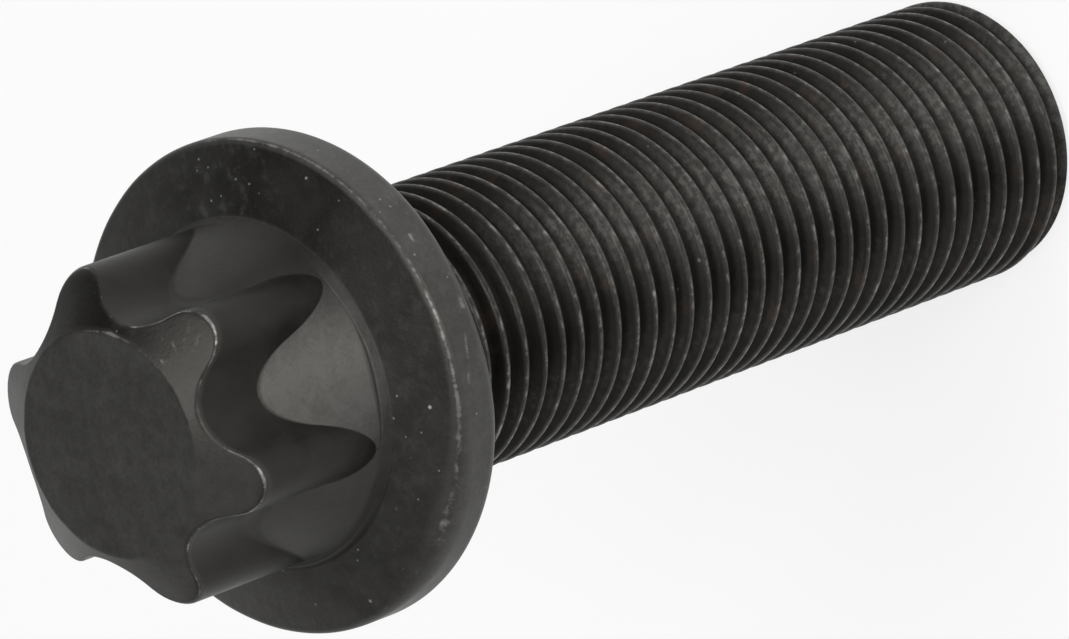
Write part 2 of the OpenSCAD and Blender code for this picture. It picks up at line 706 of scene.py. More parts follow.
    def flange_corners(self, angle: np.ndarray) -> list[Corner]:
        """Corners of the flange: the rim's front edge, its back edge and the inner ring of the bearing face.

        Args:
            angle: Angles round the axis.

        Returns:
            The corners in order.
        """
        wear = self.wear
        top_grey = wear.top_grey.at(angle)
        rim_grey = wear.rim_grey.at(angle)
        rim_rows = np.linspace(self.rim_row_margin, 1.0 - self.rim_row_margin, self.rim_row_count)
        return [
            Corner(
                self.flange_r,
                self.rim_z,
                self.rim_round * (self.rim_round_share.at(angle) + self.rim_round_ripple.at(angle)),
                steps=self.rim_steps,
                supports=tuple(rim_rows),
                worn=wear.rim_edge.at(angle),
                worn_at=wear.rim_edge_at,
                rubbed=rim_grey,
                rubbed_and_lit_from=top_grey + (wear.rim_edge_grey - top_grey) * wear.grey_edge.at(angle),
                after={Mark.RUBBED_AND_LIT: rim_grey, Mark.DUSTY: wear.rim_dust.at(angle)},
                streak=wear.streak.at(angle),
                streak_at=wear.streak_path(angle),
            ),
            Corner(
                self.flange_r,
                self.bearing_z,
                self.rim_back_round * self.back_round_share.at(angle),
                steps=self.rim_steps,
                worn=wear.back_edge.at(angle),
                worn_at=wear.back_edge_at,
                rubbed=rim_grey,
            ),
            Corner(self.inner_ring_r, self.bearing_z, 0.0),
        ]

    def surface(self) -> Surface:
        """Builds the head from the middle of the end face to the inner ring of the bearing face.

        A point is (radius cos angle, radius sin angle, height), with radius and height from the rounded
        profile at that angle.

        Returns:
            The head's surface.
        """
        angle = column_angles(self.columns)
        corners = self.drive_corners(angle) + self.foot_corners(angle) + self.flange_corners(angle)
        places = [corner.place(self.columns) for corner in corners]
        middle = np.stack([np.zeros(self.columns), np.full(self.columns, self.end_z)])
        stack = RowStack(self.columns)
        for share in self.face_rows:
            stack.add(middle * (1.0 - share) + places[0] * share, {Mark.RUBBED_AND_LIT: self.wear.face_grey})
        befores = [middle, *places[:-2]]
        earlier = None
        for before, corner, place, after in zip(befores, corners, places, places[1:], strict=False):
            arc = rounded_corner(before, place, after, corner.rounding, corner.steps)
            if earlier:
                stack.stretch(earlier, arc[0])
            stack.arc(corner, arc)
            earlier = corner
        start = stack.rows[-1]
        for share in self.bearing_rows:
            stack.add(start * (1.0 - share) + places[-1] * share, {})
        grid = np.stack(stack.rows)
        points = ring_points(grid[:, 0], grid[:, 1], angle)
        first = np.arange(self.columns)
        fan = np.stack([np.full(self.columns, len(points)), first, np.roll(first, -1)], axis=-1)
        points = np.vstack([points, [0.0, 0.0, self.end_z]])
        marks = {mark: np.append(np.concatenate(rows), rows[0][0]) for mark, rows in stack.marks.items()}
        return Surface(points, [grid_faces(len(grid), self.columns), fan], marks)


@dataclass(frozen=True)
class ThreadWearAndPaintedLight:
    """How far the shank is worn bright, rubbed grey, dusty, lit by painted sheen and darkened by painted
    shade, from 0 to about 1.

    Attributes:
        crest_line: Wear on the rows from a crest's edge to its middle.
        flank_shade: Painted shade halfway down a flank, where the root has 1.
        painted_sheen: Where a painted sheen lies along the lit side of the thread.
        shaded: Where it lies in shade.
        head_reach: How far the head's shade reaches along the shank.
        tip_from: Height where the grey band at the tip, a painted highlight where its edge catches light,
            starts to show.
        tip_fade: Length over which it comes up.
        cut_blend: How far past the tip's cone the thread has to stand to be cut in full.
        cut_edge: Width of the worn edge along that cut.
    """

    crest_line: tuple[float, ...] = (0.0, 0.25, 0.55, 0.7)
    flank_shade: float = 0.2
    painted_sheen: Patch = Patch(-71.0, 20.0)
    shaded: Patch = Patch(-112.0, 14.0, 0.4)
    head_reach: float = 15.0
    tip_from: float = 1.25
    tip_fade: float = 0.4
    cut_blend: float = 0.15
    cut_edge: float = 0.12

    # Grey on the flanks and crests, bare and under the painted sheen, and how far it fades in the flange's
    # painted shadow
    flank_grey: float = 0.02
    sheen_flank_grey: float = 0.38
    crest_grey: float = 0.15
    sheen_crest_grey: float = 0.34
    head_fade: float = 0.75
    # Grey of the painted highlight at the tip and on its cut
    tip_grey: float = 0.9

    # Shares by which the flange's painted shadow, the painted sheen and the crests change other marks, and
    # wear grows under the head
    head_shadow: float = 0.85
    sheen_shade_cut: float = 0.5
    crest_shade: float = 0.5
    head_wear: float = 0.15

    # Wear along the tip's cut and on the tip's rings from the edge inwards, painted shade at the neck, and
    # dust
    edge_wear: float = 0.7
    tip_wear: tuple[float, ...] = (0.7, 0.1, 0.0, 0.0)
    neck_shade: float = 0.8
    dust: float = 0.1


@dataclass
class Shank:
    """The threaded shank, its neck under the flange and its chamfered tip.

    Attributes:
        thread_r: Major radius of the thread.
        bearing_z: Height of the bearing face.
        wear: Wear, grey, dust, painted sheen and painted shade along the shank.
        outer_ring_r: Radius of the ring on the bearing face where the shank's surface starts.
        crest_share: Half of the crest's width before it is rounded, as a share of the pitch.
        root_share: Radius of the root's arc, as a share of the pitch.
        pitch_line: Depth of the pitch line below the crest, as a share of the pitch.
        crest_depth: Depth below the crest at which its unevenness and grey have faded to about a third.
        start_turn: Turn of the strip at which its first root lies at the ground.
        spare_turns: Turns of the strip beyond the thread's length, which close its ends.
        tip_blend: Length over which the thread's crease with the tip's cone is rounded.
        tip_rings: Radii of the tip's rings, as shares of its edge's radius.
        neck_margin: Place of the ring beside the neck's fillet, as a share of the flat ring's width.
        runout_turns: Turns over which the thread fades out at the neck.
    """

    thread_r: float
    bearing_z: float
    wear: ThreadWearAndPaintedLight = ThreadWearAndPaintedLight()
    outer_ring_r: float = 8.7
    pitch: float = 1.5
    hand: ThreadHand = ThreadHand.RIGHT
    flank_angle: float = math.radians(30.0)
    crest_share: float = 0.125
    root_share: float = 0.09
    pitch_line: float = 0.3248
    crest_round: float = 0.3
    crest_depth: float = 0.12
    crest_ripple: Ripple = Ripple(11, 60, 500, 0.018)
    start_turn: float = 2.05
    spare_turns: int = 3
    tip_chamfer: float = 0.6
    tip_blend: float = 0.04
    tip_rings: tuple[float, ...] = (1.0, 0.97, 0.6, 0.2)
    neck_fillet: float = 0.6
    neck_plain: float = 0.3
    neck_margin: float = 0.05
    runout_turns: float = 1.2
    columns: int = 120
    root_steps: int = 2
    crest_steps: int = 3
    fillet_steps: int = 5

    @property
    def neck_r(self) -> float:
        """Radius that the thread is rolled from, at its pitch line."""
        return self.thread_r - self.pitch_line * self.pitch

    @property
    def neck_z(self) -> float:
        """Height where the thread ends under the neck's fillet."""
        return self.bearing_z - self.neck_fillet - self.neck_plain

    def left(self, height: np.ndarray) -> np.ndarray:
        """Share of the thread's depth that is left at a height, from 0 at the neck to 1 below the run-out."""
        return smooth_step((self.neck_z - height) / (self.runout_turns * self.pitch))

    def thread_profile(self) -> tuple[np.ndarray, np.ndarray, np.ndarray, np.ndarray]:
        """One pitch of the thread, from a root over a crest to the next root.

        Flanks stand at the flank angle on either side of square to the axis. The crest is rounded almost all
        over, as rolling leaves it, and the root is an arc that touches both flanks.

        Returns:
            Place along the axis, depth below the crest, wear and painted shade of each row.
        """
        crest_half = self.crest_share * self.pitch
        next_pitch = np.array([[self.pitch], [0.0]])
        root_apex = np.array([[0.0], [(self.pitch / 2.0 - crest_half) / math.tan(self.flank_angle)]])
        crest_low = np.array([[self.pitch / 2.0 - crest_half], [0.0]])
        crest_high = np.array([[self.pitch / 2.0 + crest_half], [0.0]])
        next_apex = root_apex + next_pitch
        root_r = self.root_share * self.pitch
        root = rounded_corner(crest_high - next_pitch, root_apex, crest_low, root_r, self.root_steps)
        low = rounded_corner(root_apex, crest_low, crest_high, self.crest_round, self.crest_steps)
        high = rounded_corner(crest_low, crest_high, next_apex, self.crest_round, self.crest_steps)
        flank_up = 0.5 * (root[-1:] + low[:1])
        flank_down = 0.5 * (high[-1:] + next_pitch + root[:1])
        rows = np.concatenate([root, flank_up, low, high, flank_down])[:, :, 0]
        flank = [self.wear.flank_shade]
        crest_line = np.array(self.wear.crest_line)
        worn = np.concatenate([np.zeros(len(root) + 1), crest_line, crest_line[::-1], [0.0]])
        # Painted shade in the root, fading halfway up the flanks
        sheltered = np.concatenate([np.ones(len(root)), flank, np.zeros(len(low) + len(high)), flank])
        return rows[:, 0], rows[:, 1], worn, sheltered

    def thread(self) -> Surface:
        """The thread as one helical strip.

        A point of a row, a number of turns past the start, is at the height of those turns times the pitch
        plus the row's place along the axis. Its radius is the major radius less the row's depth, faded to the
        neck's radius at the top and cut by the tip's cone. Heights are held between the tip and the neck, so
        the strip's two ends close on plain rings.

        Returns:
            The strip's surface, whose points on the two end rings fall together.
        """
        along, depth, *profile_marks = self.thread_profile()
        row_count = len(along)
        turns = math.ceil(self.neck_z / self.pitch) + self.spare_turns
        column_count = turns * self.columns + 1
        turn = np.arange(column_count)[:, None] / self.columns
        azimuth = np.broadcast_to(turn * FULL_TURN, (column_count, row_count)) * self.hand.value
        held = np.clip((turn - self.start_turn) * self.pitch + along[None, :], 0.0, self.neck_z)
        crest = np.exp(-((depth / self.crest_depth) ** 2))[None, :]
        uneven = self.crest_ripple.at(turn[:, 0] * FULL_TURN / turns)[:, None] - self.crest_ripple.amount
        rolled = self.thread_r - depth[None, :] + uneven * crest
        rolled = self.neck_r + (rolled - self.neck_r) * self.left(held)
        tip_r = self.thread_r - self.tip_chamfer
        cone = tip_r + held
        radius = np.where(held <= 0.0, tip_r, soft_least(rolled, cone, self.tip_blend))
        number = np.arange(column_count * row_count).reshape(column_count, row_count)
        body = np.stack([number[:-1, :-1], number[1:, :-1], number[1:, 1:], number[:-1, 1:]], axis=-1)
        last_row = number[: -self.columns, -1]
        next_row = number[self.columns :, 0]
        seam = np.stack([last_row[:-1], last_row[1:], next_row[1:], next_row[:-1]], axis=-1)
        marks = self.thread_marks(azimuth, held, rolled - cone, crest, profile_marks)
        return Surface(ring_points(radius, held, azimuth), [body.reshape(-1, 4), seam], marks)

    def thread_marks(
        self,
        azimuth: np.ndarray,
        held: np.ndarray,
        past_cone: np.ndarray,
        crest: np.ndarray,
        profile_marks: list[np.ndarray],
    ) -> dict[Mark, np.ndarray]:
        """Marks of the thread: the profile's own, changed by the painted sheen along one side, by painted
        shade, under the head and at the tip.

        Args:
            azimuth: Angles of the points round the axis.
            held: Heights of the points.
            past_cone: How far the uncut thread stands out past the tip's cone.
            crest: How near each row is to a crest.
            profile_marks: Wear and shelter of the profile's rows.

        Returns:
            The marks of every point.
        """
        wear = self.wear
        worn, sheltered = profile_marks
        left = self.left(held)
        cut = smooth_step(past_cone / wear.cut_blend + 0.5)
        edge = np.exp(-((past_cone / wear.cut_edge) ** 2)) * crest
        # Nearness to the head, where the flange's painted shadow falls on the shank
        under_head = smooth_step((held - self.neck_z + wear.head_reach) / wear.head_reach)
        # Nearness to the tip, where the painted highlight's grey band shows
        at_tip = smooth_step((wear.tip_from - held) / wear.tip_fade)
        # Painted sheen: the lit side of the thread gets lighter grey and less painted shade
        painted_sheen = wear.painted_sheen.at(azimuth) * (1.0 - wear.head_fade * under_head)
        shade = wear.shaded.at(azimuth) * (1.0 - wear.crest_shade * crest)
        flank_grey = wear.flank_grey + wear.sheen_flank_grey * painted_sheen
        crest_grey = (wear.crest_grey + wear.sheen_crest_grey * painted_sheen) * crest * left
        grey = (flank_grey + crest_grey) * (1.0 - wear.head_fade * under_head)
        bright = worn * left * (1.0 - cut) * (1.0 + wear.head_wear * under_head)
        shade_amount = sheltered * left * (1.0 - cut) * (1.0 - wear.sheen_shade_cut * painted_sheen)
        return {
            Mark.WORN: np.maximum(bright, wear.edge_wear * edge).ravel(),
            Mark.RUBBED_AND_LIT: np.maximum(grey, wear.tip_grey * np.maximum(at_tip, cut)).ravel(),
            Mark.PAINTED_SHADE: np.maximum(shade_amount, wear.head_shadow * under_head + shade).ravel(),
            Mark.DUSTY: np.full(held.size, wear.dust),
            Mark.STAINED: np.ones(held.size),
        }

    def neck(self) -> Surface:
        """The neck: a flat ring on the bearing face, a fillet of a quarter circle and a plain stretch below.

        Returns:
            The neck's surface.
        """
        sweep = np.linspace(0.0, 0.5 * math.pi, self.fillet_steps + 1)
        fillet_r = self.neck_r + self.neck_fillet * (1.0 - np.sin(sweep))
        fillet_z = self.bearing_z - self.neck_fillet * (1.0 - np.cos(sweep))
        margin_r = self.neck_margin * self.outer_ring_r + (1.0 - self.neck_margin) * fillet_r[0]
        radius = np.concatenate([[self.outer_ring_r, margin_r], fillet_r, [self.neck_r]])
        height = np.concatenate([[self.bearing_z, self.bearing_z], fillet_z, [self.neck_z]])
        heights = np.repeat(height[:, None], self.columns, axis=1)
        points = ring_points(radius[:, None], heights, column_angles(self.columns))
        # Painted shade in the crease under the flange, growing from the bearing face down the neck
        shade_amount = np.repeat(np.linspace(0.0, self.wear.neck_shade, len(radius)), self.columns)
        marks = bare_marks(len(points)) | {Mark.PAINTED_SHADE: shade_amount}
        return Surface(points, [grid_faces(len(radius), self.columns)], marks)

    def tip(self) -> Surface:
        """The flat end of the shank: rings that shrink to the axis.

        Returns:
            The tip's surface.
        """
        radius = (self.thread_r - self.tip_chamfer) * np.array(self.tip_rings)
        heights = np.zeros((len(radius), self.columns))
        points = ring_points(radius[:, None], heights, column_angles(self.columns))
        last = np.arange(self.columns) + (len(radius) - 1) * self.columns
        fan = np.stack([last, np.full(self.columns, len(points)), np.roll(last, -1)], axis=-1)
        points = np.vstack([points, [0.0, 0.0, 0.0]])
        worn = np.append(np.repeat(self.wear.tip_wear, self.columns), 0.0)
        marks = bare_marks(len(points)) | {Mark.WORN: worn}
        return Surface(points, [grid_faces(len(radius), self.columns), fan], marks)


@dataclass(frozen=True)
class Cloud:
    """Settings of a cloudy noise.

    Attributes:
        size: Size of its largest patches in millimetres.
        detail: How many finer layers it has.
        rough: How strong the finer layers are.
        warp: How far the pattern is pulled about.
    """

    size: float
    detail: float
    rough: float
    warp: float = 0.0


@dataclass(frozen=True)
class Band:
    """An eased step from one value to another.

    Attributes:
        low: Input at which the result is at its start.
        high: Input at which the result is at its end.
        start: Result at low and before it.
        end: Result at high and past it.
    """

    low: float
    high: float
    start: float = 0.0
    end: float = 1.0


@dataclass(frozen=True)
class Specks:
    """Small dots scattered over a surface.

    Attributes:
        spacing: Distance between the places that may hold a dot, in millimetres.
        size: Radius of a dot as a share of the spacing.
        strength: How strongly a dot covers what is under it.
        stretch: How much longer the dots are along each axis.
        core: Radius of a dot's full middle, as a share of its radius.
        chosen: How the places that hold a dot come up as their share grows.
    """

    spacing: float
    size: float
    strength: float
    stretch: Point = (1.0, 1.0, 1.0)
    core: float = 0.3
    chosen: Band = Band(1.0, 1.12)


class MixKind(Enum):
    """What a mix node mixes: its setting, the numbers of its two inputs and the number of its output."""

    COLOURS = ("RGBA", 6, 7, 2)
    VALUES = ("FLOAT", 2, 3, 0)


class NodeSheet:
    """Adds nodes to one material and links them."""

    def __init__(self, name: str) -> None:
        """Makes an empty material.

        Args:
            name: Its name.
        """
        self.material = bpy.data.materials.new(name)
        self.material.use_nodes = True
        self.tree = self.material.node_tree
        self.tree.nodes.clear()
        self.place = self.node("ShaderNodeTexCoord").outputs["Object"]

    def node(self, kind: str) -> bpy.types.Node:
        """Adds a node of that kind."""
        return self.tree.nodes.new(kind)

    def put(self, socket: Socket, value: Setting) -> None:
        """Links a socket to an output, or sets its value or colour.

        Args:
            socket: The socket.
            value: The output, value or colour.
        """
        if isinstance(value, Socket):
            self.tree.links.new(value, socket)
        elif isinstance(value, tuple):
            socket.default_value = (*value, 1.0)
        else:
            socket.default_value = value

    def finish(self, surface: Socket) -> bpy.types.Material:
        """Links a shader to the material's output, and gives the material."""
        self.put(self.node("ShaderNodeOutputMaterial").inputs["Surface"], surface)
        return self.material

    def noise(self, cloud: Cloud) -> Socket:
        """Cloudy noise.

        Args:
            cloud: The noise's settings.

        Returns:
            The noise, from 0 to 1.
        """
        node = self.node("ShaderNodeTexNoise")
        self.put(node.inputs["Vector"], self.place)
        node.inputs["Scale"].default_value = 1.0 / (cloud.size * MM)
        node.inputs["Detail"].default_value = cloud.detail
        node.inputs["Roughness"].default_value = cloud.rough
        node.inputs["Distortion"].default_value = cloud.warp
        return node.outputs["Fac"]

    def band(self, value: Socket, band: Band) -> Socket:
        """Eases a value between two levels.

        Args:
            value: The value.
            band: The step.

        Returns:
            The eased value.
        """
        node = self.node("ShaderNodeMapRange")
        node.interpolation_type = "SMOOTHSTEP"
        settings = (value, band.low, band.high, band.start, band.end)
        for socket, setting in zip(node.inputs, settings, strict=False):
            self.put(socket, setting)
        return node.outputs[0]

    def joined(self, kind: str, first: Setting, second: Setting) -> Socket:
        """Joins two values by arithmetic.

        Args:
            kind: Name of the operation.
            first: The first value.
            second: The second.

        Returns:
            The result.
        """
        node = self.node("ShaderNodeMath")
        node.operation = kind
        self.put(node.inputs[0], first)
        self.put(node.inputs[1], second)
        return node.outputs[0]

    def times(self, first: Setting, second: Setting) -> Socket:
        """Multiplies two values."""
        return self.joined("MULTIPLY", first, second)

    def plus(self, first: Setting, second: Setting) -> Socket:
        """Adds two values."""
        return self.joined("ADD", first, second)

    def greatest(self, first: Setting, second: Setting) -> Socket:
        """The greater of two values."""
        return self.joined("MAXIMUM", first, second)

    def mix(
        self, share: Setting, first: Setting, second: Setting, kind: MixKind = MixKind.COLOURS
    ) -> Socket:
        """Mixes two colours or values.

        Args:
            share: Share of the second.
            first: The first colour or value.
            second: The second.
            kind: Which of the two they are.

        Returns:
            The mixed colour or value.
        """
        node = self.node("ShaderNodeMix")
        node.data_type, first_input, second_input, output = kind.value
        self.put(node.inputs[0], share)
        self.put(node.inputs[first_input], first)
        self.put(node.inputs[second_input], second)
        return node.outputs[output]

    def mark(self, mark: Mark) -> Socket:
        """Reads one of the mesh's marks.

        Args:
            mark: The mark.

        Returns:
            Its value.
        """
        node = self.node("ShaderNodeAttribute")
        node.attribute_name = mark.value
        return node.outputs["Fac"]

    def specks(self, specks: Specks, share: Setting) -> Socket:
        """Small dots at the chosen ones of many places.

        Args:
            specks: The dots' settings.
            share: Share of the places that hold one.

        Returns:
            The dots' strength inside them and 0 outside.
        """
        squeeze = self.node("ShaderNodeMapping")
        self.put(squeeze.inputs["Vector"], self.place)
        squeeze.inputs["Scale"].default_value = tuple(1.0 / length for length in specks.stretch)
        node = self.node("ShaderNodeTexVoronoi")
        self.put(node.inputs["Vector"], squeeze.outputs[0])
        node.inputs["Scale"].default_value = 1.0 / (specks.spacing * MM)
        split = self.node("ShaderNodeSeparateColor")
        self.put(split.inputs[0], node.outputs["Color"])
        inside = self.band(node.outputs["Distance"], Band(specks.size, specks.core * specks.size))
        held = self.band(self.plus(split.outputs[0], share), specks.chosen)
        return self.times(self.times(inside, held), specks.strength)


@dataclass(frozen=True)
class BlackOxide:
    """Matte black oxide on forged steel, rubbed grey on the rim and worn bright along its edges."""

    name: str = "black_oxide_steel"

    # Colours
    dark: Colour = (0.0048, 0.0045, 0.004)
    light: Colour = (0.014, 0.0135, 0.0125)
    warm: Colour = (0.024, 0.0145, 0.011)
    # Near-black of the painted shade
    shade_black: Colour = (0.0022, 0.002, 0.0018)
    # Grey of rubbing and of painted light
    rubbed: Colour = (0.0575, 0.0568, 0.0545)
    bare: Colour = (0.30, 0.29, 0.275)
    dust: Colour = (0.5, 0.5, 0.48)
    gleam: Colour = (1.0, 0.965, 0.88)

    # Patterns
    mottle: Cloud = Cloud(3.0, 4.0, 0.6, 0.3)
    stain: Cloud = Cloud(0.4, 3.0, 0.65)
    grain: Cloud = Cloud(0.2, 2.0, 0.65)
    tint: Cloud = Cloud(1.6, 4.0, 0.6, 0.5)
    breakup: Cloud = Cloud(0.8, 4.0, 0.7, 0.4)

    # Patches of the two blacks and the warm tint
    light_mottle: Band = Band(0.35, 0.68, 0.0, 0.6)
    light_stain: Band = Band(0.5, 0.72)
    warm_tint: Band = Band(0.54, 0.7)

    # How the patterns break up the grey of rubbing and painted light, how deep the painted shade goes and
    # where wear reaches bare steel
    rubbed_mottle: Band = Band(0.3, 0.7, 0.8, 1.0)
    rubbed_stain: Band = Band(0.35, 0.68, 0.3, 1.2)
    rubbed_grain: Band = Band(0.3, 0.7, 0.84, 1.06)
    rubbed_breakup: Band = Band(0.36, 0.64, 0.84, 1.08)
    shade_depth: float = 0.9
    wear_breakup: float = 1.4
    wear_level: Band = Band(1.32, 1.95)

    # Dust, hair scratches and smudges
    dust_share: float = 0.45
    dust_least: float = 0.02
    small_dots: Specks = Specks(0.55, 0.17, 0.3)
    large_dots: Specks = Specks(1.1, 0.13, 0.6)
    scratches: Specks = Specks(1.3, 0.05, 0.5, (1.0, 7.0, 1.6))
    smudges: Band = Band(0.5, 0.72, 0.0, 0.035)

    # Gloss, metal and relief
    mottle_roughness: Band = Band(0.3, 0.7, 0.4, 0.46)
    stain_roughness: Band = Band(0.3, 0.7, 0.08, -0.08)
    bare_roughness: float = 0.38
    bare_metal: float = 0.8
    specular: float = 0.28
    relief_strength: float = 0.9
    relief_depth: float = 0.02
    grain_relief: float = 0.6
    breakup_relief: float = 0.9

    def dusted(self, sheet: NodeSheet, base: Socket, breakup: Socket) -> Socket:
        """Lays dots of dust, hair scratches and smudges over a colour.

        Args:
            sheet: The material's nodes.
            base: The colour.
            breakup: The noise that shapes the smudges.

        Returns:
            The dusted colour.
        """
        dusty = sheet.mark(Mark.DUSTY)
        share = sheet.plus(sheet.times(dusty, self.dust_share), self.dust_least)
        cover = sheet.greatest(sheet.specks(self.small_dots, share), sheet.specks(self.large_dots, share))
        cover = sheet.greatest(cover, sheet.specks(self.scratches, share))
        cover = sheet.greatest(cover, sheet.times(sheet.band(breakup, self.smudges), dusty))
        return sheet.mix(cover, base, self.dust)

    def material(self) -> bpy.types.Material:
        """Builds the finish's nodes.

        Patches of two blacks and a warm tint cover the surface. Rubbed places and painted light are grey with
        a fine grain, painted shade darkens towards near-black, edges show bare steel where a noise lets them,
        and dots of dust and hair scratches lie on it. Mottle and stains vary the gloss, and the grain and the
        noise that breaks up the wear give the bump.

        Returns:
            The material.
        """
        sheet = NodeSheet(self.name)
        mottle = sheet.noise(self.mottle)
        stain = sheet.noise(self.stain)
        grain = sheet.noise(self.grain)
        tint = sheet.noise(self.tint)
        breakup = sheet.noise(self.breakup)
        stained = sheet.mark(Mark.STAINED)

        base = sheet.mix(sheet.band(mottle, self.light_mottle), self.dark, self.light)
        base = sheet.mix(sheet.times(stained, sheet.band(stain, self.light_stain)), base, self.light)
        base = sheet.mix(sheet.times(stained, sheet.band(tint, self.warm_tint)), base, self.warm)
        rubbed_mottle = sheet.band(mottle, self.rubbed_mottle)
        rubbed_stain = sheet.band(stain, self.rubbed_stain)
        uneven = sheet.mix(stained, rubbed_mottle, rubbed_stain, MixKind.VALUES)
        uneven = sheet.times(uneven, sheet.band(grain, self.rubbed_grain))
        uneven = sheet.times(uneven, sheet.band(breakup, self.rubbed_breakup))
        # Grey of rubbing and of painted light
        base = sheet.mix(sheet.times(sheet.mark(Mark.RUBBED_AND_LIT), uneven), base, self.rubbed)
        # Painted shade: the colour goes towards near-black where the mark is high
        base = sheet.mix(sheet.times(sheet.mark(Mark.PAINTED_SHADE), self.shade_depth), base, self.shade_black)
        wear = sheet.plus(sheet.mark(Mark.WORN), sheet.times(breakup, self.wear_breakup))
        worn = sheet.band(wear, self.wear_level)
        base = sheet.mix(worn, base, self.bare)

        stain_rough = sheet.times(sheet.band(stain, self.stain_roughness), stained)
        rough = sheet.plus(sheet.band(mottle, self.mottle_roughness), stain_rough)
        rough = sheet.mix(worn, rough, self.bare_roughness, MixKind.VALUES)
        relief = sheet.plus(sheet.times(grain, self.grain_relief), sheet.times(breakup, self.breakup_relief))
        bump = sheet.node("ShaderNodeBump")
        bump.inputs["Strength"].default_value = self.relief_strength
        bump.inputs["Distance"].default_value = self.relief_depth * MM
        sheet.put(bump.inputs["Height"], relief)

        shader = sheet.node("ShaderNodeBsdfPrincipled")
        shader.inputs["Specular IOR Level"].default_value = self.specular
        sheet.put(shader.inputs["Specular Tint"], self.gleam)
        sheet.put(shader.inputs["Base Color"], self.dusted(sheet, base, breakup))
        sheet.put(shader.inputs["Roughness"], rough)
        sheet.put(shader.inputs["Metallic"], sheet.times(worn, self.bare_metal))
        sheet.put(shader.inputs["Normal"], bump.outputs[0])
        return sheet.finish(shader.outputs[0])


@dataclass
class FlangeScrew:
    """The whole screw as one piece.

    Attributes:
        head: The drive and the flange.
        shank: The thread, the neck and the tip.
        finish: The finish all over it.
        name: Name of the piece.
        weld: Distance within which the surfaces' points are joined.
        sharp_angle: Angle between faces past which an edge isn't shaded smooth.
    """

    head: Head
    shank: Shank
    finish: BlackOxide = BlackOxide()
    name: str = "flange_screw"
    weld: float = 0.001
    sharp_angle: float = math.radians(50.0)

    @classmethod
    def from_frame(cls, node: str) -> "FlangeScrew":
        """Takes the main sizes from the CAD node's box and the record's mounts.

        Args:
            node: Name of the CAD node.

        Returns:
            The screw at those sizes.
        """
        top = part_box(node)[1]
        mounts = {mount["name"]: mount for mount in frame["record"]["mounts"]}
        bearing_z = mounts["bearing_face"]["pos_m"][2] / MM
        head = Head(top.x / MM, bearing_z, top.z / MM)
        shank = Shank(mounts["thread"]["dims"]["r_mm"], bearing_z)
        return cls(head, shank)

    def bearing_ring(self) -> Surface:
        """Flat ring that joins the head's columns to the shank's, which are half as many.

        Each step of the inner ring has two steps of the outer one, and three triangles between them.

        Returns:
            The ring's surface.
        """
        count = self.shank.columns
        radius = np.repeat([self.head.inner_ring_r, self.shank.outer_ring_r], [2 * count, count])
        height = np.full(3 * count, self.head.bearing_z)
        angle = np.concatenate([column_angles(2 * count), column_angles(count)])
        points = ring_points(radius, height, angle)
        inside = np.arange(count) + 2 * count
        next_inside = np.roll(inside, -1)
        first = 2 * np.arange(count)
        second = first + 1
        third = np.roll(first, -1)
        sides = [(first, inside, second), (second, inside, next_inside), (second, next_inside, third)]
        faces = np.concatenate([np.stack(side, axis=-1) for side in sides])
        return Surface(points, [faces], bare_marks(len(points)))

    def build(self) -> bpy.types.Object:
        """Joins the surfaces, welds the rings that they share and makes the piece.

        Returns:
            The piece's object.
        """
        shank = self.shank
        surfaces = [self.head.surface(), self.bearing_ring(), shank.neck(), shank.thread(), shank.tip()]
        starts = np.cumsum([0] + [len(surface.points) for surface in surfaces])
        points = np.concatenate([surface.points for surface in surfaces]) * MM
        faces = [
            face
            for start, surface in zip(starts, surfaces, strict=False)
            for group in surface.faces
            for face in (group + start).tolist()
        ]
        mesh = bpy.data.meshes.new(self.name)
        mesh.from_pydata(points.tolist(), [], faces)
        for mark in Mark:
            values = np.concatenate([surface.marks[mark] for surface in surfaces]).astype(np.float32)
            mesh.attributes.new(mark.value, "FLOAT", "POINT").data.foreach_set("value", values)
        work = bmesh.new()
        work.from_mesh(mesh)
        bmesh.ops.remove_doubles(work, verts=work.verts, dist=self.weld * MM)
        bmesh.ops.dissolve_degenerate(work, dist=0.5 * self.weld * MM, edges=work.edges)
        work.to_mesh(mesh)
        work.free()
        mesh.shade_smooth()
        mesh.set_sharp_from_angle(angle=self.sharp_angle)
        piece = bpy.data.objects.new(self.name, mesh)
        bpy.context.scene.collection.objects.link(piece)
        return piece

    def dress(self, piece: bpy.types.Object, node: str) -> None:
        """Gives the piece its finish and sets it in the frame in place of the CAD node.

        Args:
            piece: The piece's object.
            node: Name of the CAD node.
        """
        piece.data.materials.append(self.finish.material())
        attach(piece, "root")
        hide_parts(node)


